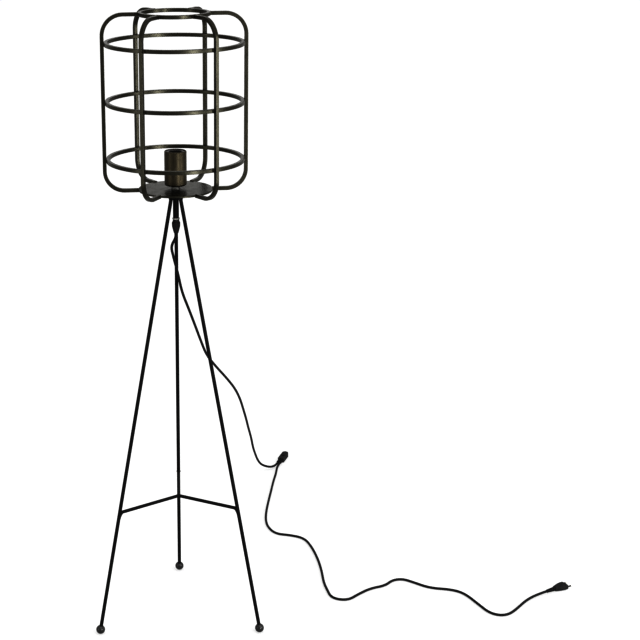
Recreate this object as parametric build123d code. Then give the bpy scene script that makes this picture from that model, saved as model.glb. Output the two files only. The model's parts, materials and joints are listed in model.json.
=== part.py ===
"""Wire cage floor lamp on a three-legged rod stand, in millimetres, +Z up.

The origin lies on the floor, under the axis that the cage, the lamp holder and the
stem share. -Y is the front: two legs stand at the front and one at the rear.
Each separate piece of the lamp is a node of its own, written to parts/NODE.step.
"""
from build123d import *
from math import atan, cos, pi, radians, sin, tan
import os

# ---- bar stock -------------------------------------------------------------
CAGE_BAR = 8.0              # side of the square bar of the ribs, hoops and top ring
CAGE_BAR_EDGE = 0.8         # rounding of its corners
LEG_ROD_D = 8.0             # round bar
SPOKE_ROD_D = 7.5
WELD_BITE = 0.4             # how deep two welded bars press into each other
COPE_INSET = 1.0            # how far a rib's end reaches in before it is coped to what it meets

# ---- cage ------------------------------------------------------------------
HOOP_R = 150.0              # centre line
HOOP_NAMES = ("hoop_lower", "hoop_middle", "hoop_upper")
HOOP_PITCH = 128.0
LOW_HOOP_RISE = 68.5        # lowest hoop above the middle of the base plate
RING_RISE = 63.0            # top ring above the highest hoop
RING_R = 75.0               # centre line
RIB_COUNT = 6
RIB_TURN = 3.9              # first rib's angle from +X, as the cage stands on its legs
RIB_BEND_TOP = 46.0         # centre-line bend radii
RIB_BEND_BOTTOM = 44.0
PLATE_R = 83.5
PLATE_T = 4.0
PLATE_EDGE = 1.0            # rounding of the plate's rim

# ---- stand -----------------------------------------------------------------
STAND_H = 1051.5            # floor to the underside of the base plate
HUB_R = 17.0
HUB_H = 19.5
HUB_EDGE = 1.5
LEG_SOCKET = 10.0           # how deep a leg's top end is let into the hub
LEG_TOP_R = 12.3            # leg's centre line at the hub's underside
FOOT_CIRCLE_R = 218.2       # leg's centre line at the middle of its ball foot
BALL_D = 21.0
BALL_SOCKET = 2.0           # how far the leg passes the ball's middle
SEAT_FIT = 0.05             # radial clearance of glued, screwed or pressed seats
LEG_ANGLES = {"left": 210.0, "right": -30.0, "rear": 90.0}

# ---- spreader --------------------------------------------------------------
SPREADER_Z = 306.0          # where the three spokes meet on the axis
SPOKE_FALLS = {"left": 0.040, "right": -0.008, "rear": 0.030}   # drop for each mm outwards

# ---- stem and lamp holder --------------------------------------------------
NIPPLE_D = 10.0             # threaded tube that clamps the stack together
NIPPLE_BORE = 7.0
CLEAR_HOLE = 0.2            # radial clearance of holes that the nipple passes
STEM_D = 13.0
STEM_H = 44.0
COLLAR_NUT_AF = 14.5        # across flats
COLLAR_NUT_H = 3.2
SPACER_NUT_AF = 17.0
SPACER_NUT_H = 6.0
WASHER_D = 20.0
WASHER_T = 1.5
LOCK_NUT_AF = 14.0
LOCK_NUT_H = 3.2
NUT_CHAMFER = 0.5           # height of the turned-off corners
NIPPLE_SHOW = 2.5           # how far the nipple stands above the lock nut
SHEATH_SHOW = 1.5           # how far the cord's sheath stands above the nipple

CUP_R = 24.7
CUP_H = 78.0
CUP_WALL = 1.0
CUP_BOTTOM_EDGE = 4.0
CUP_TOP_EDGE = 2.5
INSERT_GAP = 0.2            # between the cup's mouth and the insulating insert
INSERT_DROP = 1.5           # insert's top below the cup's rim
INSERT_H = 35.5
INSERT_EDGE = 1.0           # bevel of its mouth and top
SHELL_R = 13.35             # screw shell for the E27 lamp cap, inside wall
SHELL_WALL = 0.4
SHELL_H = 20.0
WELL_R = 12.4               # insert's bore under the shell
WELL_H = 5.0                # its depth, which keeps the centre contact below the shell
SHELL_COLLAR = 14.6         # radius of the insert's mouth above the shell
BLOCK_H = 14.0              # terminal block under the insert
BRACKET_W = 12.0
BRACKET_T = 1.5
BRACKET_HALF = 17.0         # axis to the outside of the bracket's arm
BRACKET_TAB = 8.0
BRACKET_SCREW_R = 1.5
BRACKET_SCREW_L = 9.0
BARREL_R = 2.8              # brass terminal barrel
BARREL_L = 9.0
BARREL_Y = 10.0
CORE_D = 2.2                # insulated core of the cord
CORE_GAP = 0.2
CORE_BEND = 3.5             # centre-line bend radius of a core
CORE_RUN = 5.0              # its straight runs at the cord and at the barrel
TERMINAL_SCREW_R = 1.25
TERMINAL_SCREW_SUNK = 2.0   # screw's head below the block's side
TONGUE_W = 6.0              # centre contact
TONGUE_T = 0.6
TONGUE_RISE = 4.0
TONGUE_INSET = 1.0          # its foot from the well's wall

# ---- cord grip under the stem ----------------------------------------------
GRIP_NECK_R = 7.3
GRIP_R = 9.4
GRIP_BODY_H = 9.0           # neck and shoulder above the cap
GRIP_SKIRT_H = 8.0
GRIP_SKIRT_R = 7.2
GRIP_CAP_H = 24.0
GRIP_CAP_TIP_R = 4.6
GRIP_WALL = 1.3
SEAL_H = 9.0

# ---- cord ------------------------------------------------------------------
CORD_D = 6.0
CORD_Z = CORD_D / 2 + 0.2   # height of its centre line where it lies on the floor
CORD_LIFT = 7.0             # height of its centre line at the switch
CORD_SPREAD = 3.3           # each cord's centre line from the switch's middle line

# ---- switch on the cord, lying on the floor --------------------------------
SWITCH_TIP = (303.0, 897.0)     # where both cords enter its relief
SWITCH_TURN = 69.9              # direction it points in, from +X
SWITCH_STUB = 24.0              # straight end of the cord that comes from the lamp
SWITCH_OUT_STUB = 30.0          # straight end of the cord that goes on to the plug
SWITCH_RELIEF_L = 20.0
SWITCH_RELIEF_TIP_R = 4.1
SWITCH_RELIEF_END_R = 4.7
SWITCH_TENON = 3.0              # relief's length inside the housing
SWITCH_L = 58.0
SWITCH_HALF_W = 9.5
SWITCH_H = 14.0
SWITCH_WALL = 1.5
SWITCH_EDGE = 2.5
SWITCH_CORNER = 3.5
ROCKER_X = 30.0                 # rocker's axle from the housing's near end
ROCKER_Z = 9.4
ROCKER_HALF_L = 7.4
ROCKER_HALF_W = 4.2
ROCKER_RISE = 5.4               # axle to the raised corner
ROCKER_DISH = 1.0               # depth of the dip between its two pads
ROCKER_BELLY = 0.6              # its underside slopes from this far above the axle to as far below
ROCKER_STEM_WALL = 1.0          # round the plunger
ROCKER_TILT = 8.0               # either side of level; it rests pressed at the far end
ROCKER_CLEAR = 0.35
AXLE_R = 1.0
AXLE_FIT = 0.06
AXLE_HALF_L = 6.2
LUG_HALF = 2.2
LUG_PAST = 0.4                  # how far the lugs reach past the axle's ends
PLUNGER_R = 1.0
PLUNGER_REACH = 5.0             # axle to the plunger's tip
PLUNGER_SHOW = 1.6              # its length outside the rocker's stem
PLUNGER_HELD = 0.4              # its length inside, under the spring
PLUNGER_FIT = 0.2
SPRING_TOP = 1.4                # spring's upper seat above the axle
SPRING_WIRE = 0.35
BRIDGE_L = 15.0
BRIDGE_W = 4.0
BRIDGE_T = 0.7
BRIDGE_Z = 3.7                  # middle of the bridge, level
BRIDGE_TILT = 4.0
BUTTON_R = 1.2
BUTTON_H = 0.5
BUTTON_X = 6.2
CONTACT_GAP = 0.12
CONTACT_POST_T = 1.6            # middle contact that the bridge rocks on
CONTACT_PAD_L = 6.0             # outer contacts
CONTACT_PAD_SHIFT = 1.0         # their middles outwards of the bridge's buttons
SWITCH_SCREW_R = 1.1
SWITCH_SCREW_HEAD_R = 1.9
SWITCH_SCREW_HEAD_H = 1.1
SWITCH_SCREW_L = 9.5
SWITCH_SCREW_SUNK = 0.2         # head below the base's underside
SWITCH_SCREW_X = (7.6, 51.0)    # from the housing's near end

# ---- plug ------------------------------------------------------------------
PLUG_TIP = (915.0, 66.0)        # where the cord enters its relief
PLUG_TURN = 30.0
PLUG_STUB = 29.0                # straight end of the cord
PLUG_RELIEF_L = 25.0
PLUG_RELIEF_TIP_R = 3.9
PLUG_RELIEF_END_R = 5.3
PLUG_RINGS = 3
PLUG_GROOVE_W = 1.8
PLUG_GROOVE_D = 0.8
PLUG_L = 35.5
PLUG_REAR_HALF_W = 6.5
PLUG_WAIST_HALF_W = 10.5
PLUG_WAIST_X = 15.0             # waist from the body's rear
PLUG_SHOULDER = 10.5            # length of its full-width front
PLUG_HALF_W = 13.0
PLUG_H = 13.7
PLUG_EDGE = 2.6
PIN_R = 2.0
PIN_OUT = 19.0
PIN_IN = 6.0
PIN_BARE = 9.0                  # uninsulated end of each pin
PIN_SHANK_R = 1.4
PIN_SLEEVE_R = 1.7
PIN_SPACING = 18.6

# ---- heights and radii that follow -----------------------------------------
PLATE_Z = STAND_H + PLATE_T / 2
PLATE_TOP = STAND_H + PLATE_T
HOOP_Z = [PLATE_Z + LOW_HOOP_RISE + i * HOOP_PITCH for i in range(len(HOOP_NAMES))]
RING_Z = HOOP_Z[-1] + RING_RISE
RIB_R = HOOP_R + CAGE_BAR - WELD_BITE
RING_OUTER_R = RING_R + CAGE_BAR / 2
HUB_BOTTOM = STAND_H - HUB_H
BALL_Z = BALL_D / 2
LEG_LEAN = atan((FOOT_CIRCLE_R - LEG_TOP_R) / (HUB_BOTTOM - BALL_Z))
HOLE_R = NIPPLE_D / 2 + CLEAR_HOLE
STEM_BOTTOM = HUB_BOTTOM - STEM_H
GRIP_TOP = STEM_BOTTOM - COLLAR_NUT_H
GRIP_SEAM = GRIP_TOP - GRIP_BODY_H
GRIP_TIP = GRIP_SEAM - GRIP_CAP_H
CUP_Z = PLATE_TOP + WASHER_T + SPACER_NUT_H
CUP_TOP = CUP_Z + CUP_H
MOUTH_R = CUP_R - CUP_TOP_EDGE
INSERT_R = MOUTH_R - INSERT_GAP
INSERT_TOP = CUP_TOP - INSERT_DROP
BLOCK_TOP = INSERT_TOP - INSERT_H
BLOCK_BOTTOM = BLOCK_TOP - BLOCK_H
SHELL_Z = BLOCK_TOP + WELL_H
BRACKET_Z = CUP_Z + CUP_WALL
LOCK_NUT_Z = BRACKET_Z + BRACKET_T
NIPPLE_TOP = LOCK_NUT_Z + LOCK_NUT_H + NIPPLE_SHOW
CORE_START = NIPPLE_TOP + SHEATH_SHOW

# Cord from the grip to the switch: it drops from the grip, swings behind the right
# leg and comes down to the floor behind the lamp. Points chosen by hand.
CORD_TO_SWITCH = [
    (0, 0, GRIP_TIP), (0, 0, 929), (-10, 5, 905), (-3, 12, 876), (6, 25, 842), (12, 44, 800),
    (28, 72, 750), (44, 111, 694), (57, 155, 644), (72, 210, 588), (98, 262, 538),
    (125, 312, 491), (149, 366, 442), (165, 427, 390), (176, 489, 338), (187, 553, 285),
    (196, 618, 234), (208, 683, 176), (217, 747, 118), (229, 803, 68), (238, 835, 38),
    (250, 854, 18), (274, 859.5, 8.5),
]
# Cord from the switch to the plug, lying loose on the floor. Points chosen by hand.
CORD_TO_PLUG = [
    (290, 826), (279, 766), (268, 697), (254, 626), (245, 560), (239, 505), (242, 458),
    (262, 416), (303, 407), (338, 388), (354, 338), (364, 268), (367, 198), (364, 130),
    (371, 88), (380, 50), (400, 33), (425, 34), (451, 59), (484, 94), (520, 112),
    (544, 141), (570, 145), (596, 132), (630, 97), (682, 84), (713, 64), (738, 6),
    (757, -38), (779, -50), (804, -47), (830, -17), (860, 27),
]

parts = {}


# ---- helpers ---------------------------------------------------------------
def bar(start, end, diameter):
    """A straight round bar between two points."""
    start, end = Vector(*start), Vector(*end)
    section = Plane(origin=start, z_dir=end - start) * Circle(diameter / 2)
    return extrude(section, amount=(end - start).length, dir=end - start)


def bent_bar(path, diameter):
    """A round bar along a path of straight runs and tangent arcs."""
    section = Plane(origin=path @ 0, z_dir=path % 0) * Circle(diameter / 2)
    return sweep(section, path=path)


def tube(radius, bore, bottom, height):
    """An upright tube, or a solid round where bore is 0."""
    solid = Pos(0, 0, bottom) * extrude(Circle(radius), amount=height)
    if bore:
        solid -= Pos(0, 0, bottom) * extrude(Circle(bore), amount=height)
    return solid


def hex_nut(flats, bore, bottom, height):
    """A hexagon nut with its corners turned off, on a plain bore."""
    body = Pos(0, 0, bottom) * extrude(RegularPolygon(flats / 2, 6, major_radius=False), amount=height)
    corner_r = flats / 2 / cos(pi / 6)
    turned = Pos(0, 0, bottom) * chamfer(
        extrude(Circle(corner_r), amount=height).edges(), (corner_r - flats / 2) * 0.9, NUT_CHAMFER
    )
    return (body & turned) - tube(bore, 0, bottom, height)


def cage_section():
    """The cage's square bar, cut across."""
    return RectangleRounded(CAGE_BAR, CAGE_BAR, CAGE_BAR_EDGE)


def cage_hoop(radius, height):
    """A closed hoop of square bar."""
    return revolve(Plane.XZ * Pos(radius, height) * cage_section(), axis=Axis.Z)


def upright(profile):
    """A solid of revolution from (radius, height) points."""
    face = Plane.XZ * make_face(Polyline(*profile, close=True))
    return revolve(face, axis=Axis.Z)


def group(*solids):
    """Separate solids that share one node."""
    return Compound(children=[solid for piece in solids for solid in piece.solids()])


# ---- cage ------------------------------------------------------------------
def build_cage():
    hoops = [cage_hoop(HOOP_R, height) for height in HOOP_Z]
    for name, hoop in zip(HOOP_NAMES, hoops):
        parts[name] = hoop
    parts["top_ring"] = cage_hoop(RING_R, RING_Z)

    path = Plane.XZ * FilletPolyline(
        (RING_OUTER_R - COPE_INSET, RING_Z), (RIB_R, RING_Z),
        (RIB_R, PLATE_Z), (PLATE_R - COPE_INSET, PLATE_Z),
        radius=[RIB_BEND_TOP, RIB_BEND_BOTTOM],
    )
    rib = sweep(Plane(origin=path @ 0, x_dir=(0, 1, 0), z_dir=path % 0) * cage_section(), path=path)
    for reach, height in ((RING_OUTER_R, RING_Z), (PLATE_R, PLATE_Z)):
        rib -= tube(reach, 0, height - CAGE_BAR, 2 * CAGE_BAR)
    for hoop in hoops:
        rib -= hoop
    for i in range(RIB_COUNT):
        parts[f"cage_rib_{i + 1}"] = Rot(0, 0, RIB_TURN + i * 360 / RIB_COUNT) * rib

    plate = tube(PLATE_R, HOLE_R, STAND_H, PLATE_T)
    rim = plate.edges().filter_by(GeomType.CIRCLE).filter_by(lambda edge: edge.radius > HOLE_R + CLEAR_HOLE)
    parts["base_plate"] = fillet(rim, PLATE_EDGE)


# ---- stand -----------------------------------------------------------------
def leg_point(angle, beyond, from_top=False):
    """A point on a leg's centre line: beyond the ball's middle, or beyond the hub's underside."""
    base = (LEG_TOP_R, HUB_BOTTOM) if from_top else (FOOT_CIRCLE_R, BALL_Z)
    radius = base[0] - beyond * sin(LEG_LEAN)
    height = base[1] + beyond * cos(LEG_LEAN)
    return (radius * cos(radians(angle)), radius * sin(radians(angle)), height)


def build_stand():
    hub = tube(HUB_R, HOLE_R, HUB_BOTTOM, HUB_H)
    outer = hub.edges().filter_by(GeomType.CIRCLE).filter_by(lambda edge: edge.radius > HOLE_R + CLEAR_HOLE)
    hub = chamfer(outer, HUB_EDGE)
    for side, angle in LEG_ANGLES.items():
        lower = leg_point(angle, -BALL_SOCKET)
        upper = leg_point(angle, LEG_SOCKET, from_top=True)
        middle = leg_point(angle, 0)
        outside = leg_point(angle, -LEG_SOCKET, from_top=True)
        leg = bar(lower, upper, LEG_ROD_D)
        parts[f"leg_{side}"] = leg
        ball = Pos(*middle) * Sphere(BALL_D / 2)
        parts[f"foot_ball_{side}"] = ball - bar(lower, leg_point(angle, BALL_D), LEG_ROD_D + 2 * SEAT_FIT)
        hub -= bar(outside, upper, LEG_ROD_D + 2 * SEAT_FIT)
        parts[f"spreader_spoke_{side}"] = build_spoke(leg, angle, SPOKE_FALLS[side])
    parts["leg_hub"] = hub


def build_spoke(leg, angle, fall):
    """A spoke, mitred on the axis to its two neighbours and coped at its outer end to its leg."""
    reach = LEG_TOP_R + tan(LEG_LEAN) * (HUB_BOTTOM - SPREADER_Z)
    start = (-SPOKE_ROD_D, 0, SPREADER_Z + SPOKE_ROD_D * fall)
    spoke = bar(start, (reach, 0, SPREADER_Z - reach * fall), SPOKE_ROD_D)
    half_w = reach * tan(pi / 3)
    wedge = make_face(Polyline((0, 0), (reach, -half_w), (reach, half_w), close=True))
    spoke &= Pos(0, 0, SPREADER_Z - reach) * extrude(wedge, amount=2 * reach)
    pieces = ((Rot(0, 0, angle) * spoke) - leg).solids()
    return pieces.sort_by(lambda piece: piece.volume)[-1]


# ---- stem, nuts and the cord's grip -----------------------------------------
def build_stem():
    parts["stem_tube"] = tube(STEM_D / 2, HOLE_R, STEM_BOTTOM, STEM_H)
    parts["collar_nut"] = hex_nut(COLLAR_NUT_AF, NIPPLE_D / 2 + SEAT_FIT, GRIP_TOP, COLLAR_NUT_H)
    parts["holder_washer"] = tube(WASHER_D / 2, HOLE_R, PLATE_TOP, WASHER_T)
    parts["holder_nut"] = hex_nut(SPACER_NUT_AF, NIPPLE_D / 2 + SEAT_FIT, PLATE_TOP + WASHER_T, SPACER_NUT_H)
    parts["lock_nut"] = hex_nut(LOCK_NUT_AF, NIPPLE_D / 2 + SEAT_FIT, LOCK_NUT_Z, LOCK_NUT_H)
    parts["threaded_nipple"] = tube(NIPPLE_D / 2, NIPPLE_BORE / 2, GRIP_SEAM, NIPPLE_TOP - GRIP_SEAM)

    cord_r = CORD_D / 2 + SEAT_FIT
    seal_r = GRIP_SKIRT_R - GRIP_WALL
    skirt_end = GRIP_SEAM - GRIP_SKIRT_H
    seal_top = GRIP_SEAM - WELD_BITE
    parts["grip_body"] = upright([
        (NIPPLE_D / 2 + SEAT_FIT, GRIP_TOP), (GRIP_NECK_R, GRIP_TOP),
        (GRIP_NECK_R, GRIP_TOP - GRIP_BODY_H / 2),
        (GRIP_R, GRIP_SEAM + GRIP_WALL), (GRIP_R, GRIP_SEAM), (GRIP_SKIRT_R, GRIP_SEAM),
        (GRIP_SKIRT_R, skirt_end), (seal_r + SEAT_FIT, skirt_end), (seal_r + SEAT_FIT, seal_top),
        (cord_r, seal_top), (cord_r, GRIP_SEAM), (NIPPLE_D / 2 + SEAT_FIT, GRIP_SEAM),
    ])
    parts["grip_seal"] = tube(seal_r, cord_r, seal_top - SEAL_H, SEAL_H)
    cap_inner = GRIP_SKIRT_R + SEAT_FIT
    seat_z = skirt_end - SEAT_FIT
    seal_bottom = seal_top - SEAL_H
    taper_top = GRIP_SEAM - GRIP_CAP_H / 4
    parts["grip_cap"] = upright([
        (cap_inner, GRIP_SEAM), (GRIP_R, GRIP_SEAM), (GRIP_R, taper_top),
        (GRIP_R - GRIP_WALL, taper_top - GRIP_CAP_H / 4), (GRIP_CAP_TIP_R, GRIP_TIP), (cord_r, GRIP_TIP),
        (cord_r, seal_bottom), (seal_r + SEAT_FIT, seal_bottom), (seal_r + SEAT_FIT, seat_z),
        (cap_inner, seat_z),
    ])
    parts["cord_in_stem"] = tube(CORD_D / 2, 0, GRIP_TIP, CORE_START - GRIP_TIP)


# ---- lamp holder -----------------------------------------------------------
def build_cup():
    outer = Pos(0, 0, CUP_Z) * extrude(Circle(CUP_R), amount=CUP_H)
    outer = fillet(outer.edges().sort_by(Axis.Z)[0], CUP_BOTTOM_EDGE)
    outer = fillet(outer.edges().sort_by(Axis.Z)[-1], CUP_TOP_EDGE)
    inner = Pos(0, 0, CUP_Z + CUP_WALL) * extrude(Circle(CUP_R - CUP_WALL), amount=CUP_H - 2 * CUP_WALL)
    inner = fillet(inner.edges().sort_by(Axis.Z)[0], CUP_BOTTOM_EDGE - CUP_WALL)
    inner = fillet(inner.edges().sort_by(Axis.Z)[-1], CUP_TOP_EDGE - CUP_WALL)
    mouth = tube(MOUTH_R, 0, CUP_TOP - 2 * CUP_TOP_EDGE, 3 * CUP_TOP_EDGE)
    hole = tube(HOLE_R, 0, CUP_Z - CUP_WALL, 3 * CUP_WALL)
    parts["holder_cup"] = outer - inner - mouth - hole


def build_insert():
    shell_outer = SHELL_R + SHELL_WALL
    insert = tube(INSERT_R, WELL_R, BLOCK_TOP, INSERT_H)
    insert -= tube(shell_outer + SEAT_FIT, 0, SHELL_Z, SHELL_H)
    insert -= tube(SHELL_COLLAR, 0, SHELL_Z + SHELL_H, INSERT_H)
    circles = insert.edges().filter_by(GeomType.CIRCLE)
    parts["holder_insert"] = chamfer(circles.sort_by(Axis.Z)[-2:], INSERT_EDGE)
    parts["screw_shell"] = tube(shell_outer, SHELL_R, SHELL_Z, SHELL_H)

    foot = -WELL_R + TONGUE_INSET
    half = TONGUE_T / 2
    tongue = Polyline(
        (foot, BLOCK_TOP + half), (foot / 2, BLOCK_TOP + half),
        (-TONGUE_W / 3, BLOCK_TOP + TONGUE_RISE), (TONGUE_W / 2, BLOCK_TOP + TONGUE_RISE - half),
    )
    strip = extrude(Plane.XZ * trace(tongue, TONGUE_T), amount=TONGUE_W / 2, both=True)
    parts["centre_contact"] = strip & tube(WELL_R, 0, BLOCK_TOP, WELL_H)


def build_block():
    """Terminal block, its barrels and screws, the bracket that carries it, and the cores."""
    block = tube(INSERT_R, 0, BLOCK_BOTTOM, BLOCK_H)
    barrels, screws = [], []
    screw_z = BLOCK_BOTTOM + BARREL_L / 2
    for side in (-1, 1):
        seat = Pos(0, side * BARREL_Y, 0) * tube(BARREL_R, 0, BLOCK_BOTTOM, BARREL_L)
        core_r = CORE_D / 2 + CORE_GAP
        core_hole = Pos(0, side * BARREL_Y, 0) * tube(core_r, 0, BLOCK_BOTTOM, BARREL_L / 2)
        outside = side * 2 * INSERT_R
        middle = (0, side * BARREL_Y, screw_z)
        access = bar(middle, (0, outside, screw_z), 2 * (TERMINAL_SCREW_R + CORE_GAP))
        screw_tip = side * (BARREL_Y + CORE_D / 2 + CORE_GAP)
        screw_head = side * (INSERT_R - TERMINAL_SCREW_SUNK)
        screw = bar((0, screw_tip, screw_z), (0, screw_head, screw_z), 2 * TERMINAL_SCREW_R)
        block -= seat
        block -= access
        thread = bar((0, screw_tip, screw_z), (0, outside, screw_z), 2 * TERMINAL_SCREW_R)
        barrels.append(seat - core_hole - thread)
        screws.append(screw)
    parts["terminal_barrels"] = group(*barrels)
    parts["terminal_screws"] = group(*screws)

    arm = BRACKET_HALF - BRACKET_T / 2
    low, high = BRACKET_Z + BRACKET_T / 2, BLOCK_BOTTOM - BRACKET_T / 2
    tab = arm - BRACKET_TAB
    line = Polyline((-tab, high), (-arm, high), (-arm, low), (arm, low), (arm, high), (tab, high))
    bracket = extrude(Plane.XZ * trace(line, BRACKET_T), amount=BRACKET_W / 2, both=True)
    bracket -= tube(HOLE_R, 0, BRACKET_Z - BRACKET_T, 3 * BRACKET_T)
    fixings = []
    for side in (-1, 1):
        x = side * (arm - BRACKET_TAB / 2)
        shank_z = BLOCK_BOTTOM - BRACKET_T
        shank = Pos(x, 0, 0) * tube(BRACKET_SCREW_R, 0, shank_z, BRACKET_SCREW_L)
        head = Pos(x, 0, 0) * tube(2 * BRACKET_SCREW_R, 0, shank_z - BRACKET_SCREW_R, BRACKET_SCREW_R)
        bracket -= shank
        block -= shank
        fixings.append(shank + head)
    parts["holder_bracket"] = bracket
    parts["terminal_block"] = block
    parts["bracket_screws"] = group(*fixings)

    core_end = BLOCK_BOTTOM + BARREL_L / 2 - CORE_GAP
    for name, side in (("core_live", 1), ("core_neutral", -1)):
        start_y = side * (CORE_D / 2 + CORE_GAP)
        path = FilletPolyline(
            (0, start_y, CORE_START), (0, start_y, CORE_START + CORE_RUN),
            (0, side * BARREL_Y, BLOCK_BOTTOM - CORE_RUN), (0, side * BARREL_Y, core_end), radius=CORE_BEND,
        )
        parts[name] = bent_bar(path, CORE_D)


# ---- cord ------------------------------------------------------------------
def switch_point(along, across, height):
    """A point in the switch's own directions, measured from its relief's tip."""
    turn = radians(SWITCH_TURN)
    x = SWITCH_TIP[0] + along * cos(turn) - across * sin(turn)
    y = SWITCH_TIP[1] + along * sin(turn) + across * cos(turn)
    return (x, y, height)


def cord_radii(points):
    """Bend radii: 0.45 of the shorter run over the tangent of half the turn."""
    radii = []
    for before, here, after in zip(points, points[1:], points[2:]):
        run_in, run_out = Vector(*here) - Vector(*before), Vector(*after) - Vector(*here)
        half_turn = radians(run_in.get_angle(run_out)) / 2
        radii.append(0.45 * min(run_in.length, run_out.length) / tan(half_turn))
    return radii


def free_cord(name, points):
    """A free stretch of cord along hand-chosen points."""
    radii = cord_radii(points)
    path = FilletPolyline(*points, radius=radii)
    solid = bent_bar(path, CORD_D)
    expected = pi * (CORD_D / 2) ** 2 * path.length
    print(f"{name}: length {path.length:.0f}, radii {[round(r) for r in radii]}, "
          f"volume {solid.volume / expected:.4f} of section times length")
    parts[name] = solid


def plug_point(along):
    """A point on the plug's middle line, measured from its relief's tip."""
    turn = radians(PLUG_TURN)
    return (PLUG_TIP[0] + along * cos(turn), PLUG_TIP[1] + along * sin(turn), PLUG_H / 2)


def build_cords():
    into_switch = [switch_point(along, CORD_SPREAD, CORD_LIFT) for along in (-SWITCH_STUB, 0)]
    out_of_switch = [switch_point(along, -CORD_SPREAD, CORD_LIFT) for along in (0, -SWITCH_OUT_STUB)]
    into_plug = [plug_point(along) for along in (-PLUG_STUB, 0)]
    free_cord("cord_to_switch", CORD_TO_SWITCH + into_switch)
    free_cord("cord_to_plug", out_of_switch + [(x, y, CORD_Z) for x, y in CORD_TO_PLUG] + into_plug)


# ---- switch: built with x along it from the housing's near end, then laid in place ----
SWITCH_PLACE = Pos(*switch_point(SWITCH_RELIEF_L, 0, 0)) * Rot(0, 0, SWITCH_TURN)


def switch_outline(inset):
    """The housing's plan: square at the cords' end, round at the far end."""
    half = SWITCH_HALF_W - inset
    far = SWITCH_L - SWITCH_HALF_W
    plan = make_face(Polyline((inset, -half), (far, -half), (far, half), (inset, half), close=True))
    corners = plan.vertices().sort_by(Axis.X)[:2]
    return fillet(corners, SWITCH_CORNER - inset) + Pos(far, 0) * Circle(half)


def twin_bore(radius, x):
    """The relief's section: a hull round the two cords, square to x."""
    plane = Plane(origin=(x, 0, CORD_LIFT), x_dir=(0, 1, 0), z_dir=(1, 0, 0))
    return plane * SlotCenterToCenter(2 * CORD_SPREAD, 2 * radius)


def build_switch_housing():
    seam = SWITCH_H / 2
    outer = extrude(switch_outline(0), amount=SWITCH_H)
    outer = fillet(outer.faces().sort_by(Axis.Z)[-1].edges(), SWITCH_EDGE)
    outer = fillet(outer.faces().sort_by(Axis.Z)[0].edges(), SWITCH_WALL / 2)
    cavity = Pos(0, 0, SWITCH_WALL) * extrude(switch_outline(SWITCH_WALL), amount=SWITCH_H - 2 * SWITCH_WALL)
    entry = extrude(twin_bore(SWITCH_RELIEF_END_R, -SWITCH_WALL), amount=3 * SWITCH_WALL)
    housing = outer - cavity - entry
    big = 4 * SWITCH_L
    base = housing & Pos(0, 0, seam - big / 2) * Box(big, big, big)
    cover = housing & Pos(0, 0, seam + big / 2) * Box(big, big, big)

    window = Pos(ROCKER_X, 0, SWITCH_H) * Box(
        2 * rocker_sweep() + 2 * ROCKER_CLEAR, 2 * (ROCKER_HALF_W + ROCKER_CLEAR), 4 * SWITCH_WALL
    )
    cover -= window
    lug_in, lug_top = ROCKER_HALF_W + ROCKER_CLEAR, SWITCH_H - SWITCH_WALL
    lug_low = ROCKER_Z - LUG_HALF
    lug_out = AXLE_HALF_L + LUG_PAST
    for side in (-1, 1):
        lug = Box(2 * LUG_HALF, lug_out - lug_in, lug_top - lug_low)
        cover += Pos(ROCKER_X, side * (lug_in + lug_out) / 2, (lug_top + lug_low) / 2) * lug
    bore_end = lug_out + LUG_PAST
    cover -= bar((ROCKER_X, -bore_end, ROCKER_Z), (ROCKER_X, bore_end, ROCKER_Z), 2 * (AXLE_R + AXLE_FIT))

    screws = []
    for x in SWITCH_SCREW_X:
        boss = Pos(x, 0, 0) * tube(2 * SWITCH_SCREW_R, 0, seam, lug_top - seam)
        post = Pos(x, 0, 0) * tube(2 * SWITCH_SCREW_R, 0, SWITCH_WALL, seam - SWITCH_WALL)
        shank = Pos(x, 0, 0) * tube(SWITCH_SCREW_R, 0, 0, SWITCH_SCREW_L)
        head = Pos(x, 0, 0) * tube(SWITCH_SCREW_HEAD_R, 0, SWITCH_SCREW_SUNK, SWITCH_SCREW_HEAD_H)
        pocket = Pos(x, 0, 0) * tube(SWITCH_SCREW_HEAD_R, 0, 0, SWITCH_SCREW_HEAD_H + SWITCH_SCREW_SUNK)
        cover = (cover + boss) - shank
        base = (base + post) - shank - pocket
        thread = Pos(x, 0, 0) * tube(SWITCH_SCREW_R, 0, SWITCH_SCREW_SUNK, SWITCH_SCREW_L - SWITCH_SCREW_SUNK)
        screws.append(thread + head)
    parts["switch_base"] = SWITCH_PLACE * base
    parts["switch_cover"] = SWITCH_PLACE * cover
    parts["switch_screws"] = group(*[SWITCH_PLACE * screw for screw in screws])

    flare = loft([twin_bore(SWITCH_RELIEF_TIP_R, -SWITCH_RELIEF_L), twin_bore(SWITCH_RELIEF_END_R, 0)])
    tenon = extrude(twin_bore(SWITCH_RELIEF_END_R, 0), amount=SWITCH_TENON)
    parts["switch_relief"] = SWITCH_PLACE * (flare + tenon)


def rocker_sweep():
    """How far the rocker's corner reaches along the switch when tilted."""
    tilt = radians(ROCKER_TILT)
    return ROCKER_HALF_L * cos(tilt) + ROCKER_RISE * sin(tilt)


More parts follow.
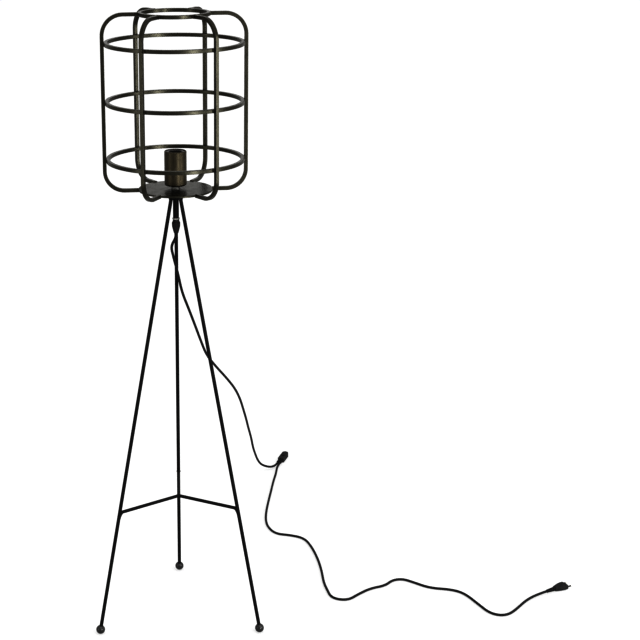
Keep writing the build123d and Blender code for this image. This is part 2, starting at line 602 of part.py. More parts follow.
def build_rocker():
    """Rocker, plunger and spring, tilted with the far end pressed; the bridge tilts against it."""
    spring_r = PLUNGER_R + PLUNGER_FIT
    stem_r = spring_r + ROCKER_STEM_WALL
    stem_low = -PLUNGER_REACH + PLUNGER_SHOW
    profile = Polyline(
        (-ROCKER_HALF_L, ROCKER_BELLY), (-ROCKER_HALF_L, ROCKER_RISE), (0, ROCKER_RISE - ROCKER_DISH),
        (ROCKER_HALF_L, ROCKER_RISE), (ROCKER_HALF_L, ROCKER_BELLY),
        (stem_r, -ROCKER_BELLY), (stem_r, stem_low),
        (-stem_r, stem_low), (-stem_r, -ROCKER_BELLY), close=True,
    )
    rocker = extrude(Plane.XZ * make_face(profile), amount=ROCKER_HALF_W, both=True)
    rocker += bar((0, -AXLE_HALF_L, 0), (0, AXLE_HALF_L, 0), 2 * AXLE_R)
    rocker -= tube(spring_r, 0, stem_low, SPRING_TOP - stem_low)
    tip_z = PLUNGER_R - PLUNGER_REACH
    head_z = stem_low + PLUNGER_HELD
    plunger = tube(PLUNGER_R, 0, tip_z, head_z - tip_z) + Pos(0, 0, tip_z) * Sphere(PLUNGER_R)
    spring_out = spring_r - SEAT_FIT
    spring = tube(spring_out, spring_out - SPRING_WIRE, head_z, SPRING_TOP - head_z)
    place = SWITCH_PLACE * Pos(ROCKER_X, 0, ROCKER_Z) * Rot(0, ROCKER_TILT, 0)
    parts["switch_rocker"] = place * rocker
    parts["switch_plunger"] = place * plunger
    parts["switch_spring"] = place * spring

    bridge = Box(BRIDGE_L, BRIDGE_W, BRIDGE_T)
    for side in (-1, 1):
        low = -BRIDGE_T / 2 - BUTTON_H
        bridge += Pos(side * BUTTON_X, 0, 0) * tube(BUTTON_R, 0, low, BUTTON_H)
    parts["switch_bridge"] = SWITCH_PLACE * Pos(ROCKER_X, 0, BRIDGE_Z) * Rot(0, -BRIDGE_TILT, 0) * bridge

    fall = BUTTON_X * sin(radians(BRIDGE_TILT)) + BUTTON_R * sin(radians(BRIDGE_TILT))
    contact_top = BRIDGE_Z - BRIDGE_T / 2 - BUTTON_H - fall - CONTACT_GAP
    post_top = BRIDGE_Z - BRIDGE_T / 2 - CONTACT_GAP
    post = Box(CONTACT_POST_T, BRIDGE_W, post_top - SWITCH_WALL)
    fixed = [Pos(ROCKER_X, 0, (SWITCH_WALL + post_top) / 2) * post]
    for side in (-1, 1):
        pad = Box(CONTACT_PAD_L, BRIDGE_W, contact_top - SWITCH_WALL)
        pad_x = ROCKER_X + side * (BUTTON_X + CONTACT_PAD_SHIFT)
        fixed.append(Pos(pad_x, 0, (SWITCH_WALL + contact_top) / 2) * pad)
    parts["switch_contacts"] = group(*[SWITCH_PLACE * solid for solid in fixed])


# ---- plug: built with x along it from the relief's tip, then laid in place ---
PLUG_PLACE = Pos(*plug_point(0)) * Rot(0, 0, PLUG_TURN)


def along_x(profile):
    """A solid of revolution round x from (x, radius) points."""
    face = Plane.XZ * make_face(Polyline(*profile, close=True))
    return revolve(face, axis=Axis.X)


def build_plug():
    rear, front = PLUG_RELIEF_L, PLUG_RELIEF_L + PLUG_L
    half_h = PLUG_H / 2
    outline = [
        (rear, PLUG_REAR_HALF_W), (rear + PLUG_WAIST_X, PLUG_WAIST_HALF_W),
        (front - PLUG_SHOULDER, PLUG_HALF_W), (front, PLUG_HALF_W),
    ]
    plan = make_face(Polyline(*outline, *[(x, -y) for x, y in reversed(outline)], close=True))
    body = Pos(0, 0, -half_h) * extrude(plan, amount=PLUG_H)
    flats = body.faces().sort_by(Axis.Z)
    body = fillet(flats[0].edges() + flats[-1].edges(), PLUG_EDGE)

    ring_pitch = PLUG_RELIEF_L / (PLUG_RINGS + 1)
    growth = (PLUG_RELIEF_END_R - PLUG_RELIEF_TIP_R) / PLUG_RELIEF_L
    profile = [(0, 0), (0, PLUG_RELIEF_TIP_R)]
    for i in range(PLUG_RINGS):
        groove_end = (i + 1) * ring_pitch
        groove = groove_end - PLUG_GROOVE_W
        for x, depth in ((groove, 0), (groove, PLUG_GROOVE_D), (groove_end, PLUG_GROOVE_D), (groove_end, 0)):
            profile.append((x, PLUG_RELIEF_TIP_R + growth * x - depth))
    profile += [(PLUG_RELIEF_L, PLUG_RELIEF_END_R), (PLUG_RELIEF_L, 0)]
    parts["plug_relief"] = PLUG_PLACE * along_x(profile)

    pins, sleeves = [], []
    bare = front + PIN_OUT - PIN_BARE
    for side in (-1, 1):
        place = Pos(0, side * PIN_SPACING / 2, 0)
        pin = along_x([
            (front - PIN_IN, 0), (front - PIN_IN, PIN_SHANK_R), (bare, PIN_SHANK_R), (bare, PIN_R),
            (front + PIN_OUT - PIN_R / 2, PIN_R), (front + PIN_OUT, PIN_R / 2), (front + PIN_OUT, 0),
        ])
        sleeve = along_x([
            (front, PIN_SHANK_R), (front, PIN_SLEEVE_R), (bare, PIN_SLEEVE_R), (bare, PIN_SHANK_R),
        ])
        seat = [(front - PIN_IN, 0), (front - PIN_IN, PIN_SHANK_R), (front, PIN_SHANK_R), (front, 0)]
        body -= place * along_x(seat)
        pins.append(PLUG_PLACE * place * pin)
        sleeves.append(PLUG_PLACE * place * sleeve)
    parts["plug_body"] = PLUG_PLACE * body
    parts["plug_pins"] = group(*pins)
    parts["plug_pin_sleeves"] = group(*sleeves)


build_cage()
build_stand()
build_stem()
build_cup()
build_insert()
build_block()
build_cords()
build_switch_housing()
build_rocker()
build_plug()

os.makedirs("parts", exist_ok=True)
for node, shape in parts.items():
    export_step(shape, f"parts/{node}.step")
print(f"{len(parts)} nodes")
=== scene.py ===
"""Wire cage floor lamp: the look of the part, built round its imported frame."""
import json
from math import atan, cos, pi, radians, sin, sqrt, tan

import bmesh
import bpy
from mathutils import Matrix, Vector


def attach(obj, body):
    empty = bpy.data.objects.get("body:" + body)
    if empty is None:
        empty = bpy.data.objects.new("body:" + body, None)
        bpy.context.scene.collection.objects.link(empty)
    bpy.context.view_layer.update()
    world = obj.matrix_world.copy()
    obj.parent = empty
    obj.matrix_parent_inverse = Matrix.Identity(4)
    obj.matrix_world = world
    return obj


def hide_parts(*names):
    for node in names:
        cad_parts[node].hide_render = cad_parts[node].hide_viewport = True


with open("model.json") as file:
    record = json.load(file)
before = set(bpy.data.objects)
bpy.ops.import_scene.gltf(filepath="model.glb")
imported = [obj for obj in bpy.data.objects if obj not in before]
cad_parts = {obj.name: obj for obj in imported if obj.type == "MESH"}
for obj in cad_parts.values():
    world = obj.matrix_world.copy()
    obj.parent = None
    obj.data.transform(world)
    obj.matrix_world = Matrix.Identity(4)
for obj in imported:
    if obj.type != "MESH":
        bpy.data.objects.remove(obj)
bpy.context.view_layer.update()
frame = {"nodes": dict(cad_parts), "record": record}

MM = 0.001
BODY = "lamp"
NODES = frame["nodes"]

# ---- sizes of the lamp, in millimetres and degrees ------------------------------
BAR_HALF = 4.0                      # half the side of the cage's square bar
HOOP_FACE_R = 150.0 + BAR_HALF      # outside of a hoop
RING_FACE_R = 75.0 + BAR_HALF       # outside of the top ring
RIB_ANGLES = [3.9 + 60 * i for i in range(6)]
STAND_H = 1051.5                    # floor to the base plate's underside
PLATE_T = 4.0
PLATE_Z = STAND_H + PLATE_T / 2     # middle of the plate
PLATE_R = 83.5
HOOP_Z = [PLATE_Z + 68.5 + 128.0 * i for i in range(3)]
RING_Z = HOOP_Z[-1] + 63.0

HUB_BOTTOM = STAND_H - 19.5
LEG_R = 4.0
LEG_TOP_R = 12.3                    # a leg's centre line from the axis, at the hub
FOOT_R = 218.2                      # and at the middle of its ball foot
BALL_R = 10.5
LEG_LEAN = atan((FOOT_R - LEG_TOP_R) / (HUB_BOTTOM - BALL_R))
SPREADER_Z = 306.0                  # where the three spokes meet
SPOKE_R = 3.75
SPOKE_FALLS = {210.0: 0.040, -30.0: -0.008, 90.0: 0.030}  # leg's direction: spoke's slope

WASHER_T = 1.5
HOLDER_NUT_H = 6.0
CUP_H = 78.0
CUP_TOP = STAND_H + PLATE_T + WASHER_T + HOLDER_NUT_H + CUP_H
INSERT_DROP = 1.5                   # insert's top below the cup's rim
INSERT_H = 35.5
WELL_H = 5.0                        # room under the shell, in the insert
SHELL_BOTTOM = CUP_TOP - INSERT_DROP - INSERT_H + WELL_H
SHELL_H = 20.0
GRIP_SEAM = 975.8                   # where the grip's cap meets its body
GRIP_TIP = 951.8                    # where the cord leaves the grip

CORD_R = 3.0
CORD_Z = 3.2                        # centre line of the cord on the floor
CORD_SPREAD = 3.3                   # each cord beside the switch's middle line
CORD_LIFT = 7.0                     # and above the floor
SWITCH_TIP = (303.0, 897.0)         # end of the switch's relief
SWITCH_TURN = radians(69.9)
SWITCH_RELIEF = 20.0
PLUG_TIP = (915.0, 66.0)            # end of the plug's relief
PLUG_TURN = radians(30.0)
PLUG_Z = 6.85
PLUG_RELIEF = 25.0
PLUG_L = 35.5

# ---- sizes of the finish, in millimetres ------------------------------------------
HOOP_BEAD_R, RING_BEAD_R, PLATE_BEAD_R = 1.05, 1.0, 1.4
SEAM_BEAD_R, SOCKET_BEAD_R, COLLAR_BEAD_R = 1.1, 0.9, 0.55
BEAD_SIDES = 10
BEAD_LIFT = 0.1                     # a bead's path stands this far off the metal
BAR_BEAD_POINTS = 40                # points of a bead's path round a square bar
BEAD_CORNER = BAR_HALF + 0.15       # half the side of that path
PLATE_BEAD_RISE = 2.7               # half its height at the plate's rim
FILLET_STEPS, FILLET_SIDES = 15, 28
FILLET_DROP = 16.0                  # weld under a spoke's end: how far it runs down the leg
FILLET_REACH = 8.0                  # and in along the spoke
FILLET_HALF_W = 3.2                 # at its top; half of this at its lower end
KNOT_R, KNOT_HALF_H = 5.6, 4.25     # weld where the spokes meet
KNOT_STEPS, KNOT_SIDES = 12, 30
THREAD_PITCH, THREAD_R, THREAD_WAVE = 3.63, 12.85, 0.45
THREAD_STEPS, THREAD_SIDES = 84, 72
SHEET_T = 0.35                      # the rolled shell's wall
FINGER_RIBS, FINGER_DEPTH, CAP_SIDES = 24, 0.45, 192
GROOVES, GROOVE_PITCH, GROOVE_DEPTH = 5, 3.1, 0.75

# ---- camera, light and tone -------------------------------------------------------
CAMERA_PLACE = (0.0, -3.2934, 1.7897)
CAMERA_PITCH, CAMERA_ROLL = radians(17.60), radians(-0.57)
LENS, SENSOR = 84.454, 36.0
LENS_SHIFT = (0.2234, 0.0008)
WORLD_LIGHT = 1.3                   # the camera itself sees the world at 1.0
SUN_LIGHT, SUN_ANGLE = 1.8, radians(50)
VIEW_CONTRAST = 0.5                 # gamma of the picture: white stays white, and edges
                                    # blend as in a photo
FLOOR_SIDE, FLOOR_Z = 120.0, -0.0005
FLOOR_GLOW = 0.62
AREA_LIGHTS = [                     # name, place, target, size, power
    ("softbox", (3.0, -1.35, 1.2), (0, 0, 1.15), (1.0, 2.2), 76),
    ("side_strip", (1.7, -2.85, 0.8), (0, 0, 1.15), (0.5, 1.7), 80),
    ("left_fill", (-2.8, -1.6, 1.0), (0, 0, 1.1), (0.5, 2.0), 28),
]


def switch_point(along, across, height):
    """A point in the switch's directions, from its relief's tip, in mm."""
    x = SWITCH_TIP[0] + along * cos(SWITCH_TURN) - across * sin(SWITCH_TURN)
    y = SWITCH_TIP[1] + along * sin(SWITCH_TURN) + across * cos(SWITCH_TURN)
    return (x, y, height)


def plug_point(along, across=0.0, height=PLUG_Z):
    """A point in the plug's directions, from its relief's tip, in mm."""
    x = PLUG_TIP[0] + along * cos(PLUG_TURN) - across * sin(PLUG_TURN)
    y = PLUG_TIP[1] + along * sin(PLUG_TURN) + across * cos(PLUG_TURN)
    return (x, y, height)


# Control points of the two free stretches of cord, in mm.
CORD_TO_SWITCH = [
    (0, 0, GRIP_TIP), (0, 0, 942.7), (-12, 1.5, 921.9), (-7.8, 6.4, 899.2),
    (3.1, 21.2, 851.8), (12, 44, 800), (28, 72, 750), (44, 111, 694), (57, 155, 644),
    (72, 210, 588), (98, 262, 538), (125, 312, 491), (149, 366, 442), (165, 427, 390),
    (176, 489, 338), (187, 553, 285), (196, 618, 234), (208, 683, 176), (217, 747, 118),
    (229, 803, 68), (238, 835, 38), (250, 854, 18), (274, 859.5, 8.5),
    switch_point(-24, CORD_SPREAD, CORD_LIFT), switch_point(0, CORD_SPREAD, CORD_LIFT),
]
CORD_TO_PLUG = [
    switch_point(0, -CORD_SPREAD, CORD_LIFT), switch_point(-30, -CORD_SPREAD, CORD_LIFT),
] + [(x, y, CORD_Z) for x, y in (
    (290, 826), (278, 766), (267, 697), (255, 626), (245, 560), (240, 505), (243, 458),
    (262, 415), (302, 406), (337, 387), (352, 337), (362, 268), (366, 199), (365, 132),
    (370, 92), (375, 56), (394, 40), (420, 40), (444, 66), (479, 97), (518, 111),
    (541, 141), (568, 146), (591, 128), (628, 96), (681, 87), (710, 66), (734, 8),
    (751, -33), (774, -48), (799, -42), (825, -12), (857, 30),
)] + [plug_point(-29), plug_point(0)]


# ---- camera, light and floor --------------------------------------------------
def new_object(name, data):
    obj = bpy.data.objects.new(name, data)
    bpy.context.scene.collection.objects.link(obj)
    return obj


def build_camera():
    forward = Vector((0, cos(CAMERA_PITCH), -sin(CAMERA_PITCH)))
    right, up = Vector((1, 0, 0)), Vector((0, sin(CAMERA_PITCH), cos(CAMERA_PITCH)))
    axis_x = right * cos(CAMERA_ROLL) + up * sin(CAMERA_ROLL)
    axis_y = -right * sin(CAMERA_ROLL) + up * cos(CAMERA_ROLL)
    data = bpy.data.cameras.new("camera")
    data.sensor_width = SENSOR
    data.lens = LENS
    data.shift_x, data.shift_y = LENS_SHIFT
    data.clip_start, data.clip_end = 0.05, 200.0
    camera = new_object("camera", data)
    rows = [(axis_x[i], axis_y[i], -forward[i], CAMERA_PLACE[i]) for i in range(3)]
    camera.matrix_world = Matrix([*rows, (0, 0, 0, 1)])
    bpy.context.scene.camera = camera


def aim(obj, target):
    obj.rotation_euler = (Vector(target) - obj.location).to_track_quat("-Z", "Y").to_euler()


def area_light(name, place, target, size, power):
    data = bpy.data.lights.new(name, "AREA")
    data.shape = "RECTANGLE"
    data.size, data.size_y = size
    data.energy = power
    light = new_object(name, data)
    light.location = place
    aim(light, target)


def build_world():
    world = bpy.data.worlds.new("studio")
    world.use_nodes = True
    tree = world.node_tree
    background = tree.nodes["Background"]
    background.inputs["Color"].default_value = (1, 1, 1, 1)
    path = tree.nodes.new("ShaderNodeLightPath")
    strength = tree.nodes.new("ShaderNodeMapRange")
    strength.inputs["To Min"].default_value = WORLD_LIGHT
    strength.inputs["To Max"].default_value = 1.0
    tree.links.new(path.outputs["Is Camera Ray"], strength.inputs["Value"])
    tree.links.new(strength.outputs["Result"], background.inputs["Strength"])
    bpy.context.scene.world = world


def build_lights():
    data = bpy.data.lights.new("overhead", "SUN")
    data.energy = SUN_LIGHT
    data.angle = SUN_ANGLE
    sun = new_object("overhead", data)
    sun.location = (1.0, -1.5, 5.0)
    aim(sun, (0, 0, 0.6))
    for light in AREA_LIGHTS:
        area_light(*light)


def build_floor():
    half = FLOOR_SIDE / 2
    corners = [(-half, -half, 0), (half, -half, 0), (half, half, 0), (-half, half, 0)]
    floor = mesh_object("floor", corners, [(0, 1, 2, 3)])
    floor.location.z = FLOOR_Z
    paint = coated("floor_paint", (0.22, 0.22, 0.22), 0.9, spec=0.0, mottle=0.01, grain=0.0)
    glow = paint.node_tree.nodes["Principled BSDF"]
    glow.inputs["Emission Color"].default_value = (1, 1, 1, 1)
    glow.inputs["Emission Strength"].default_value = FLOOR_GLOW
    floor.data.materials.append(paint)


def build_studio():
    bpy.context.scene.view_settings.view_transform = "Standard"
    bpy.context.scene.view_settings.gamma = VIEW_CONTRAST
    build_world()
    build_lights()
    build_floor()


# ---- materials ----------------------------------------------------------------
def coated(name, colour, rough, metal=0.0, spec=0.5, mottle=0.15, patch=45.0, grain=0.15,
           grain_size=0.9, stretch=(1, 1, 1)):
    """A surface with patches of tone, a fine grain and uneven gloss.

    patch is in patches a metre and grain_size in mm; mottle is the share by which the
    tone varies, and stretch draws patches and grain out along an axis.
    """
    material = bpy.data.materials.new(name)
    material.use_nodes = True
    tree = material.node_tree
    shader = tree.nodes["Principled BSDF"]
    shader.inputs["Metallic"].default_value = metal
    shader.inputs["Specular IOR Level"].default_value = spec
    place = tree.nodes.new("ShaderNodeTexCoord")
    scale = tree.nodes.new("ShaderNodeMapping")
    scale.inputs["Scale"].default_value = stretch
    tree.links.new(place.outputs["Object"], scale.inputs["Vector"])

    def noise(size, detail):
        node = tree.nodes.new("ShaderNodeTexNoise")
        node.inputs["Scale"].default_value = size
        node.inputs["Detail"].default_value = detail
        tree.links.new(scale.outputs["Vector"], node.inputs["Vector"])
        return node.outputs["Fac"]

    patches = noise(patch, 4.0)
    ramp = tree.nodes.new("ShaderNodeValToRGB")
    low, high = ramp.color_ramp.elements
    low.position, high.position = 0.3, 0.7
    low.color = (*[channel * (1 - mottle) for channel in colour], 1)
    high.color = (*[min(1.0, channel * (1 + mottle)) for channel in colour], 1)
    tree.links.new(patches, ramp.inputs["Fac"])
    tree.links.new(ramp.outputs["Color"], shader.inputs["Base Color"])

    gloss = tree.nodes.new("ShaderNodeMapRange")
    gloss.inputs["From Min"].default_value = 0.3
    gloss.inputs["From Max"].default_value = 0.7
    gloss.inputs["To Min"].default_value = rough * 0.88
    gloss.inputs["To Max"].default_value = min(1.0, rough * 1.12)
    tree.links.new(noise(patch * 4, 3.0), gloss.inputs["Value"])
    tree.links.new(gloss.outputs["Result"], shader.inputs["Roughness"])

    if grain:
        bump = tree.nodes.new("ShaderNodeBump")
        bump.inputs["Strength"].default_value = grain
        bump.inputs["Distance"].default_value = grain_size * MM * 0.25
        tree.links.new(noise(1000.0 / grain_size, 3.0), bump.inputs["Height"])
        tree.links.new(bump.outputs["Normal"], shader.inputs["Normal"])
    return material


def make_materials():
    """One material for each slot of the record."""
    return {
        "cage_metal": coated(
            "dark_bronze", (0.051, 0.0492, 0.0390), 0.33, metal=0.85, spec=0.2, mottle=0.14,
            patch=25, grain=0.1, grain_size=0.6),
        "leg_metal": coated(
            "black_coat", (0.016, 0.016, 0.016), 0.42, spec=0.03, mottle=0.2, patch=30),
        "cup_metal": coated(
            "bronze_cup", (0.068, 0.0595, 0.0425), 0.46, metal=0.85, spec=0.2, mottle=0.12,
            grain=0.04, grain_size=0.3),
        "zinc": coated(
            "zinc_plate", (0.28, 0.28, 0.265), 0.45, metal=1.0, mottle=0.1, patch=300,
            grain=0.2, grain_size=0.4, stretch=(1, 1, 4)),
        "steel": coated(
            "bright_steel", (0.40, 0.40, 0.39), 0.33, metal=1.0, mottle=0.1, patch=260,
            grain=0.15, grain_size=0.4),
        "brass": coated(
            "brass_contact", (0.72, 0.50, 0.20), 0.3, metal=1.0, mottle=0.12, patch=240,
            grain=0.15, grain_size=0.4),
        "nickel": coated(
            "nickel_plate", (0.72, 0.70, 0.66), 0.22, metal=1.0, mottle=0.06, patch=200,
            grain=0.08, grain_size=0.5),
        "black_plastic": coated(
            "moulded_plastic", (0.030, 0.030, 0.030), 0.5, spec=0.05, mottle=0.12, patch=90,
            grain=0.25, grain_size=0.5),
        "insulator": coated(
            "moulded_insulator", (0.030, 0.028, 0.026), 0.38, spec=0.4, mottle=0.15,
            patch=120, grain=0.12, grain_size=0.6),
        "cord_sheath": coated(
            "cord_rubber", (0.016, 0.016, 0.016), 0.55, spec=0.10, mottle=0.15, patch=60,
            grain=0.2, grain_size=0.7),
        "seal_rubber": coated(
            "seal_rubber", (0.025, 0.025, 0.025), 0.7, spec=0.25, mottle=0.15, patch=200,
            grain=0.3),
        "core_brown": coated(
            "brown_core", (0.16, 0.055, 0.022), 0.35, spec=0.4, mottle=0.08, patch=200,
            grain=0.05),
        "core_blue": coated(
            "blue_core", (0.02, 0.09, 0.30), 0.35, spec=0.4, mottle=0.08, patch=200,
            grain=0.05),
    }


def dress_solids():
    """Each solid of the source gets its slot's material; the ball feet are glossier."""
    foot_coat = coated("foot_coat", (0.024, 0.024, 0.024), 0.3, spec=0.4, mottle=0.2, patch=60)
    slots = {part["node"]: part["material_slot"] for part in frame["record"]["subparts"]}
    for node, obj in NODES.items():
        is_foot = node.startswith("foot_ball")
        obj.data.materials.clear()
        obj.data.materials.append(foot_coat if is_foot else MATERIALS[slots[node]])


# ---- mesh helpers ---------------------------------------------------------------
def mesh_object(name, points, faces):
    mesh = bpy.data.meshes.new(name)
    mesh.from_pydata([Vector(p) for p in points], [], faces)
    for polygon in mesh.polygons:
        polygon.use_smooth = True
    return new_object(name, mesh)


def add_piece(name, points, faces, slot, replaces=(), finish=None):
    """A finished piece from points in mm: it gets its slot's material, or the finish given, and
    its body.
    """
    obj = mesh_object(name, [Vector(p) * MM for p in points], faces)
    fix = bmesh.new()
    fix.from_mesh(obj.data)
    bmesh.ops.recalc_face_normals(fix, faces=fix.faces)
    fix.to_mesh(obj.data)
    fix.free()
    obj.data.materials.append(finish or MATERIALS[slot])
    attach(obj, BODY)
    if replaces:
        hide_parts(*replaces)
    return obj


def stack_rings(rings, closed=False):
    """Faces that join rings of equal length, with end caps unless closed on itself."""
    count = len(rings[0])
    points = [p for ring in rings for p in ring]
    faces = []
    last = len(rings) if closed else len(rings) - 1
    for i in range(last):
        here, there = i * count, ((i + 1) % len(rings)) * count
        for j in range(count):
            k = (j + 1) % count
            faces.append((here + j, here + k, there + k, there + j))
    if not closed:
        faces.append(tuple(range(count)))
        faces.append(tuple((len(rings) - 1) * count + j for j in range(count)))
    return points, faces


def merge(shapes):
    points, faces = [], []
    for shape_points, shape_faces in shapes:
        base = len(points)
        points += shape_points
        faces += [tuple(base + i for i in face) for face in shape_faces]
    return points, faces


def turns(count):
    return [2 * pi * i / count for i in range(count)]


def polar(radius, angle, height, tangent=0.0):
    """A point at a radius in a direction, moved sideways by tangent."""
    turn = radians(angle)
    x = radius * cos(turn) - tangent * sin(turn)
    y = radius * sin(turn) + tangent * cos(turn)
    return Vector((x, y, height))


def signed_power(value, power):
    return (1 if value >= 0 else -1) * abs(value) ** power


# ---- weld beads ---------------------------------------------------------------
def bead(path, radius, ripple=0.12, every=4):
    """A weld bead: a rippled closed tube along a closed path of points in mm."""
    path = [Vector(p) for p in path]
    count = len(path)
    normal = sum((path[i].cross(path[(i + 1) % count]) for i in range(count)), Vector())
    rings = []
    for i, here in enumerate(path):
        along = (path[(i + 1) % count] - path[i - 1]).normalized()
        side = along.cross(normal).normalized()
        up = side.cross(along)
        sign = -1 if (i // every) % 2 else 1
        swell = radius * (1 + ripple * (0.5 if i % every else 1.0) * sign)
        rings.append([
            here + side * swell * cos(t) + up * swell * sin(t) for t in turns(BEAD_SIDES)
        ])
    return stack_rings(rings, closed=True)


def bar_bead(distance, angle, height, half_h, radius, every=4):
    """The bead round a rib where it meets a round face; distance(across) is the face's."""
    path = []
    for t in turns(BAR_BEAD_POINTS):
        across = BEAD_CORNER * signed_power(cos(t), 0.4)
        rise = half_h * signed_power(sin(t), 0.4)
        path.append(polar(distance(across), angle, height + rise, across))
    return bead(path, radius, every=every)


def leg_radius(height):
    """How far a leg's centre line is from the axis at a height."""
    return LEG_TOP_R + tan(LEG_LEAN) * (HUB_BOTTOM - height)


def spoke_end(fall):
    """Where a spoke's centre line meets its leg's: radius and height."""
    radius = leg_radius(SPREADER_Z) / (1 - tan(LEG_LEAN) * fall)
    return radius, SPREADER_Z - radius * fall


def spoke_seam(angle, fall):
    """The bead round a spoke's coped end."""
    centre, height = spoke_end(fall)
    path = []
    for t in turns(32):
        across, rise = (SPOKE_R + BEAD_LIFT) * cos(t), (SPOKE_R + BEAD_LIFT) * sin(t)
        face = sqrt(max(LEG_R ** 2 - across ** 2, 0.5))
        radius = centre - rise * tan(LEG_LEAN) - face - BEAD_LIFT
        path.append(polar(radius, angle, height + rise, across))
    return bead(path, SEAM_BEAD_R)


def spoke_fillet(angle, fall):
    """The weld under a spoke, which runs out down its leg."""
    centre, height = spoke_end(fall)
    rings = []
    last = FILLET_STEPS - 1
    for i in range(FILLET_STEPS):
        drop = 0.5 + FILLET_DROP * i / last
        reach = FILLET_REACH * max(0.0, 1 - drop / FILLET_DROP) ** 1.8
        half_w = FILLET_HALF_W * (1 - 0.5 * i / last)
        middle = centre + drop * tan(LEG_LEAN) - LEG_R
        rings.append([
            polar(middle + (1.2 if cos(t) > 0 else reach) * cos(t), angle, height - drop,
                  half_w * sin(t) * (1 + 0.06 * sin(5 * t + i)))
            for t in turns(FILLET_SIDES)
        ])
    return stack_rings(rings)


def socket_bead(angle):
    """The bead round a leg where it enters the hub."""
    path_r = LEG_R + BEAD_LIFT
    return bead([
        polar(LEG_TOP_R + path_r * cos(t) * cos(LEG_LEAN) * 1.02, angle,
              HUB_BOTTOM - 2 * BEAD_LIFT, path_r * sin(t))
        for t in turns(36)
    ], SOCKET_BEAD_R)


def foot_bead(angle):
    """The bead round a leg where it enters its ball foot."""
    neck = sqrt(BALL_R ** 2 - LEG_R ** 2)
    radius, height = FOOT_R - neck * sin(LEG_LEAN), BALL_R + neck * cos(LEG_LEAN)
    return bead([
        polar(radius + LEG_R * cos(t) * cos(LEG_LEAN), angle,
              height + LEG_R * cos(t) * sin(LEG_LEAN), LEG_R * sin(t))
        for t in turns(32)
    ], COLLAR_BEAD_R, ripple=0.05)


def spreader_knot():
    """The lump of weld where the three spokes meet."""
    rings = []
    for i in range(1, KNOT_STEPS):
        down = pi * i / KNOT_STEPS
        height = SPREADER_Z + KNOT_HALF_H * cos(down)
        ring = []
        for t in turns(KNOT_SIDES):
            radius = KNOT_R * sin(down) * (1 + 0.04 * sin(5 * t + i))
            ring.append(Vector((radius * cos(t), radius * sin(t), height)))
        rings.append(ring)
    return stack_rings(rings)


def build_welds():
    hoop_beads, ring_beads, plate_beads, stand_beads = [], [], [], []
    for angle in RIB_ANGLES:
        for height in HOOP_Z:
            hoop_beads.append(bar_bead(
                lambda across: HOOP_FACE_R - BEAD_LIFT, angle, height, BEAD_CORNER,
                HOOP_BEAD_R))
        ring_beads.append(bar_bead(
            lambda across: sqrt(RING_FACE_R ** 2 - across ** 2) + 2 * BEAD_LIFT, angle,
            RING_Z, BEAD_CORNER - 0.5, RING_BEAD_R, every=5))
        plate_beads.append(bar_bead(
            lambda across: sqrt(PLATE_R ** 2 - across ** 2) + BEAD_LIFT, angle, PLATE_Z,
            PLATE_BEAD_RISE, PLATE_BEAD_R))
    # Painted highlight: the weld beads are coloured lighter and brassier than the cage metal to
    # stand in for glints of light at the crossings.
    glint_finish = coated(
        "painted_glint_bronze", (0.085, 0.080, 0.062), 0.8, metal=0.85, spec=0.2, mottle=0.3, patch=160)
    add_piece("hoop_welds", *merge(hoop_beads), "cage_metal", finish=glint_finish)
    add_piece("top_ring_welds", *merge(ring_beads), "cage_metal", finish=glint_finish)
    add_piece("base_plate_welds", *merge(plate_beads), "cage_metal", finish=glint_finish)

    for angle, fall in SPOKE_FALLS.items():
        stand_beads += [
            socket_bead(angle), foot_bead(angle), spoke_seam(angle, fall),
            spoke_fillet(angle, fall),
        ]
    add_piece("stand_welds", *merge(stand_beads), "leg_metal")
    add_piece("spreader_weld", *spreader_knot(), "leg_metal")


# ---- lamp holder ----------------------------------------------------------------
def build_screw_shell():
    """The E27 shell: sheet metal rolled into a round thread that fades at both ends."""
    inner, outer = [], []
    for i in range(THREAD_STEPS + 1):
        rise = SHELL_H * i / THREAD_STEPS
        fade = min(1.0, rise / 2.5, (SHELL_H - rise) / 2.0)
        ring_in, ring_out = [], []
        for t in turns(THREAD_SIDES):
            wave = cos(2 * pi * rise / THREAD_PITCH - t)
            radius = THREAD_R + THREAD_WAVE * wave * fade + 0.30 * (1 - fade)
            for ring, r in ((ring_in, radius), (ring_out, radius + SHEET_T)):
                ring.append(Vector((r * cos(t), r * sin(t), SHELL_BOTTOM + rise)))
        inner.append(ring_in)
        outer.append(ring_out)
    points, faces = stack_rings(inner + outer[::-1], closed=True)
    add_piece("threaded_shell", points, faces, "nickel", replaces=["screw_shell"])


def build_grip_cap():
    """The grip's cap, with finger ribs and a rounded lower end."""
    profile = [                     # radius, height above the seam, share of a rib's depth
        (3.1, -0.05, 0), (9.1, -0.05, 0), (9.4, -0.4, 0), (9.4, -1.4, 0), (9.35, -1.8, 0.8),
        (9.3, -5.5, 1.0), (9.0, -7.5, 1.0), (8.45, -10.0, 0.6), (7.85, -12.5, 0),
        (7.1, -15.5, 0), (6.3, -18.5, 0), (5.6, -21.0, 0), (5.0, -22.9, 0), (4.4, -23.7, 0),
        (3.7, -23.95, 0), (3.1, GRIP_TIP + 0.1 - GRIP_SEAM, 0),
    ]
    rings = []
    for full_radius, rise, share in profile:
        ring = []
        for t in turns(CAP_SIDES):
            radius = full_radius - FINGER_DEPTH * share * (0.5 + 0.5 * cos(FINGER_RIBS * t))
            ring.append(Vector((radius * cos(t), radius * sin(t), GRIP_SEAM + rise)))
        rings.append(ring)
    points, faces = stack_rings(rings, closed=True)
    add_piece("ribbed_grip_cap", points, faces, "black_plastic", replaces=["grip_cap"])


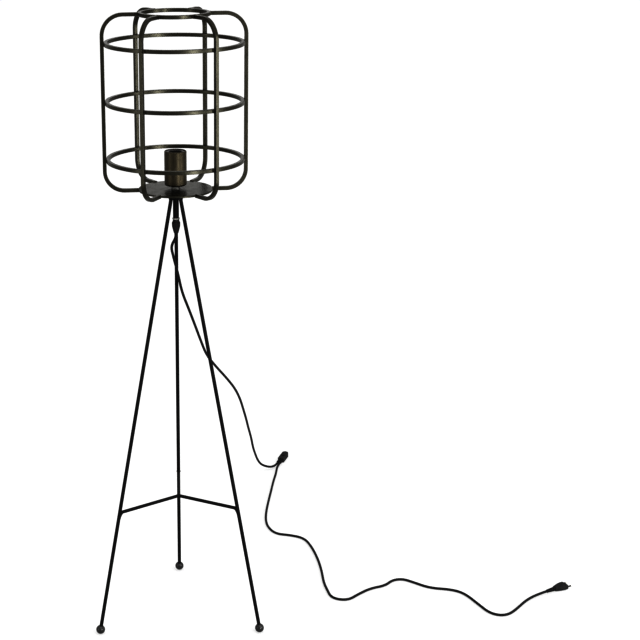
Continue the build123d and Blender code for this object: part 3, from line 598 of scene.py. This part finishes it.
# ---- cord, switch and plug --------------------------------------------------------
def build_cord(name, points):
    data = bpy.data.curves.new(name, "CURVE")
    data.dimensions = "3D"
    data.bevel_depth = CORD_R * MM
    data.bevel_resolution = 6
    data.use_fill_caps = True
    data.resolution_u = 10
    spline = data.splines.new("NURBS")
    spline.points.add(len(points) - 1)
    for control, point in zip(spline.points, points):
        control.co = (*[value * MM for value in point], 1.0)
    spline.order_u = 3
    spline.use_endpoint_u = True
    obj = new_object(name, data)
    data.materials.append(MATERIALS["cord_sheath"])
    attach(obj, BODY)
    return obj


def build_cords(switch_pieces, plug_pieces):
    to_switch = build_cord("mains_cord_to_switch", CORD_TO_SWITCH)
    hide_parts("cord_to_switch")
    to_plug = build_cord("mains_cord_to_plug", CORD_TO_PLUG)
    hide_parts("cord_to_plug")


def build_switch_relief():
    """Twin relief with cross grooves, round both cords."""
    stations = [(-SWITCH_RELIEF, 0.55), (-SWITCH_RELIEF + 0.5, 0.0)]  # place and groove
    for i in range(GROOVES):
        start = -SWITCH_RELIEF + 2.2 + GROOVE_PITCH * i
        stations += [
            (start, 0.0), (start + 0.35, GROOVE_DEPTH), (start + 1.45, GROOVE_DEPTH),
            (start + 1.8, 0.0),
        ]
    stations += [(-0.3, 0.0), (3.0, 0.0)]
    rings = []
    for along, groove in stations:
        radius = 4.1 + 0.6 * (along + SWITCH_RELIEF) / SWITCH_RELIEF if along < 0 else 4.7
        radius -= groove
        ring = []
        for t in turns(40):
            side = CORD_SPREAD if cos(t) > 0 else -CORD_SPREAD
            across = radius * cos(t) + side * min(1, abs(cos(t)) * 30)
            height = CORD_LIFT + radius * sin(t)
            ring.append(Vector(switch_point(SWITCH_RELIEF + along, across, height)))
        rings.append(ring)
    points, faces = stack_rings(rings)
    return add_piece(
        "grooved_switch_relief", points, faces, "cord_sheath", replaces=["switch_relief"])


def build_plug_body():
    """Flat two-pin plug body, waisted behind and full at the pins' face."""
    stations = [                    # place, half width, half height
        (0.0, 5.6, 5.0), (0.6, 6.3, 5.7), (4, 7.1, 6.2), (9, 8.6, 6.6), (14, 10.2, 6.8),
        (19, 11.7, 6.85), (24, 12.7, 6.85), (28, 13.0, 6.85), (33, 13.0, 6.85),
        (34.6, 12.8, 6.7), (PLUG_L, 12.0, 6.0),
    ]
    rings = []
    for along, half_w, half_h in stations:
        ring = []
        for t in turns(64):
            across = half_w * signed_power(cos(t), 0.55)
            height = PLUG_Z + half_h * signed_power(sin(t), 0.6)
            ring.append(Vector(plug_point(PLUG_RELIEF + along, across, height)))
        rings.append(ring)
    points, faces = stack_rings(rings)
    return add_piece(
        "moulded_plug_body", points, faces, "black_plastic", replaces=["plug_body"])


# ---- put it together ----------------------------------------------------------------
MATERIALS = make_materials()
dress_solids()
build_camera()
build_studio()
build_welds()
build_screw_shell()
build_grip_cap()
build_cords(
    [build_switch_relief(), "switch_base", "switch_cover", "switch_screws", "switch_contacts",
     "switch_rocker", "switch_plunger", "switch_spring", "switch_bridge"],
    [build_plug_body(), "plug_relief", "plug_pins", "plug_pin_sleeves"],
)

bpy.context.view_layer.update()
